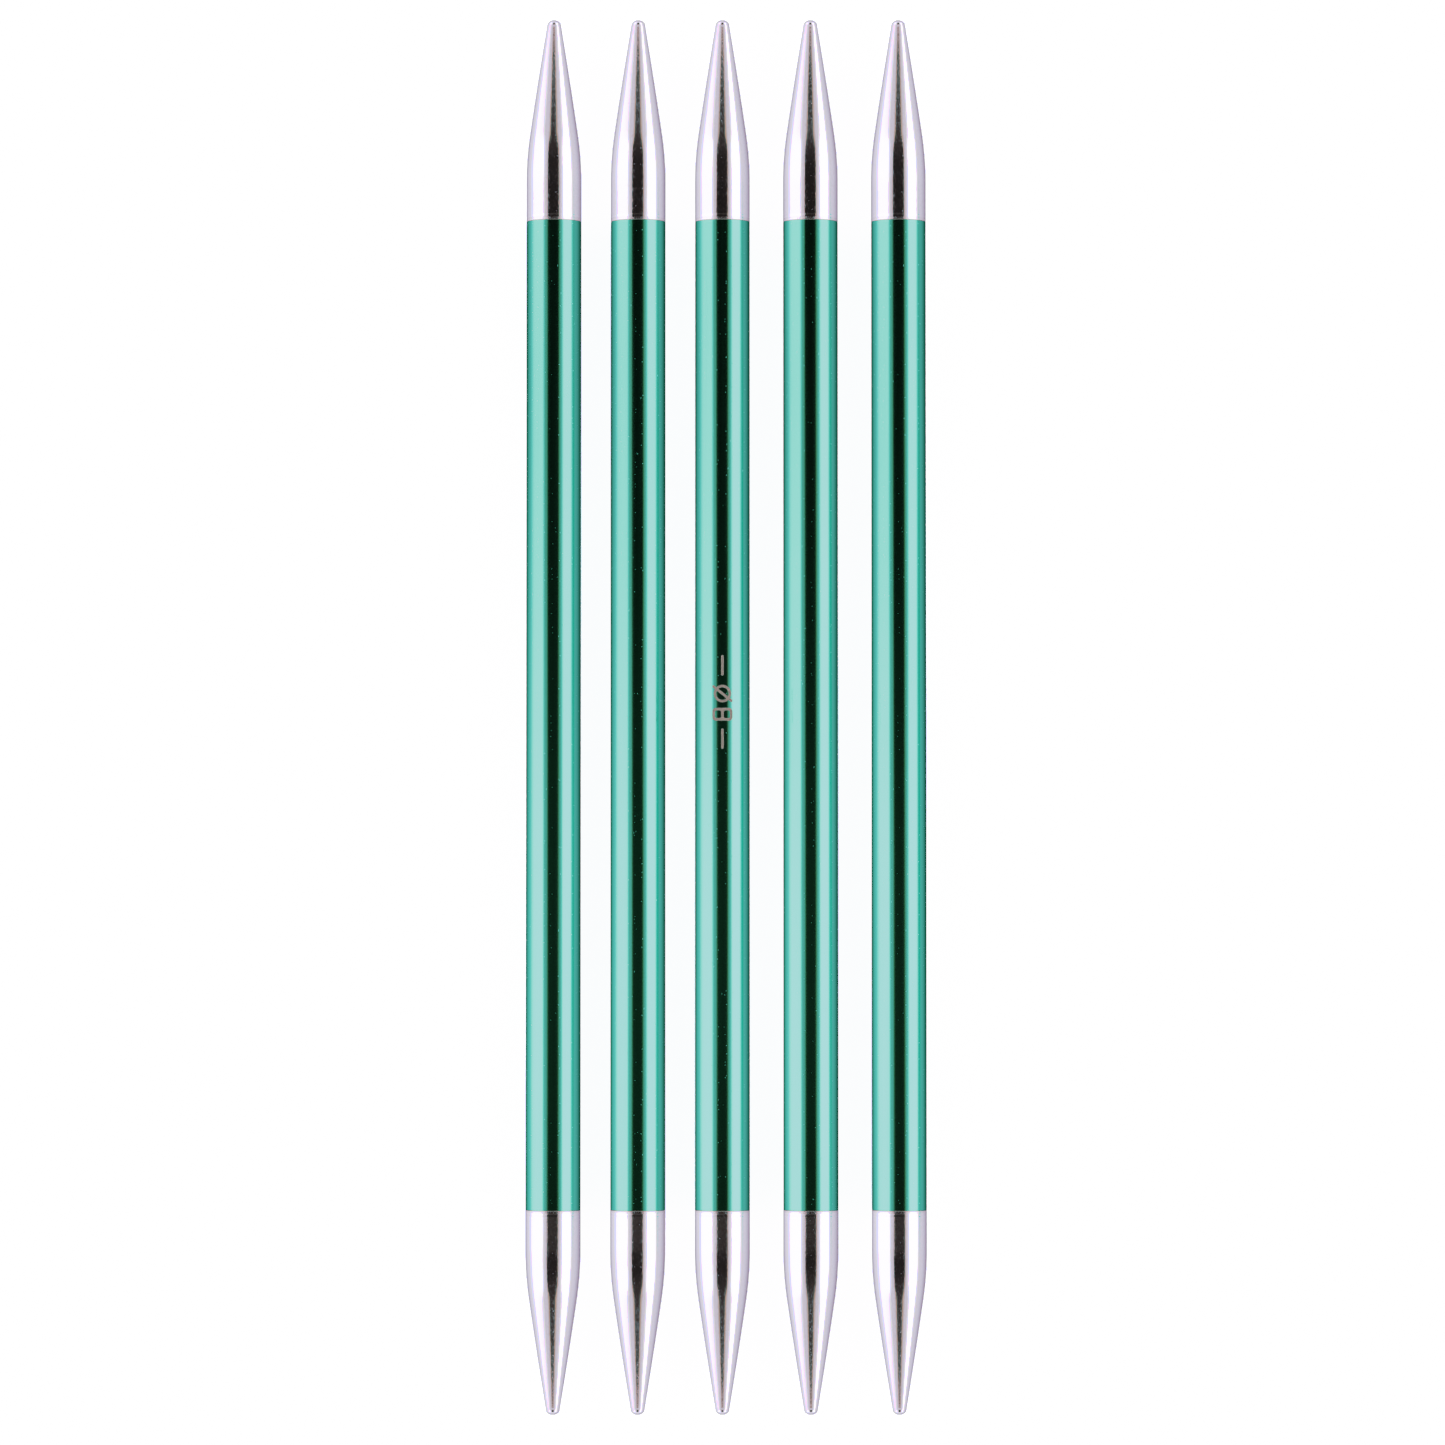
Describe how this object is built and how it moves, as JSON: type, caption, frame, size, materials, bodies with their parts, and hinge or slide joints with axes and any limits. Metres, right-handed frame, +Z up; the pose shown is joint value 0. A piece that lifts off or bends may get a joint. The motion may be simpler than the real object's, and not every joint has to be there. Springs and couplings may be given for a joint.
{
  "type": "double pointed knitting needles",
  "caption": "Matched set of straight round metal knitting needles lying side by side, each tapering to a point at both ends, with teal shafts and silver points.",
  "frame": {"origin": "on the surface that the needles lie on, below the middle of the set's box", "axes": "+Y along the needles, from near tips to far tips; +X across the set, from needle_1 to needle_5; +Z up from the surface"},
  "size_m": [0.0582, 0.2032, 0.008],
  "materials": {
    "teal_anodised_aluminium": "glossy anodised, with fine marks along the tube",
    "polished_aluminium": "bare, turned and polished"
  },
  "bodies": {
    "needle_1": {"needle_1_shaft": "teal_anodised_aluminium", "needle_1_far_tip": "polished_aluminium", "needle_1_near_tip": "polished_aluminium"},
    "needle_2": {"needle_2_shaft": "teal_anodised_aluminium", "needle_2_far_tip": "polished_aluminium", "needle_2_near_tip": "polished_aluminium"},
    "needle_3": {"needle_3_shaft": "teal_anodised_aluminium", "needle_3_far_tip": "polished_aluminium", "needle_3_near_tip": "polished_aluminium"},
    "needle_4": {"needle_4_shaft": "teal_anodised_aluminium", "needle_4_far_tip": "polished_aluminium", "needle_4_near_tip": "polished_aluminium"},
    "needle_5": {"needle_5_shaft": "teal_anodised_aluminium", "needle_5_far_tip": "polished_aluminium", "needle_5_near_tip": "polished_aluminium"}
  },
  "joints": [
    {"name": "needle_1_lift", "type": "slide", "parent": "needle_3", "child": "needle_1", "axis": [0, 0, 1], "range_m": [0, 0.05]},
    {"name": "needle_2_lift", "type": "slide", "parent": "needle_3", "child": "needle_2", "axis": [0, 0, 1], "range_m": [0, 0.05]},
    {"name": "needle_4_lift", "type": "slide", "parent": "needle_3", "child": "needle_4", "axis": [0, 0, 1], "range_m": [0, 0.05]},
    {"name": "needle_5_lift", "type": "slide", "parent": "needle_3", "child": "needle_5", "axis": [0, 0, 1], "range_m": [0, 0.05]}
  ]
}
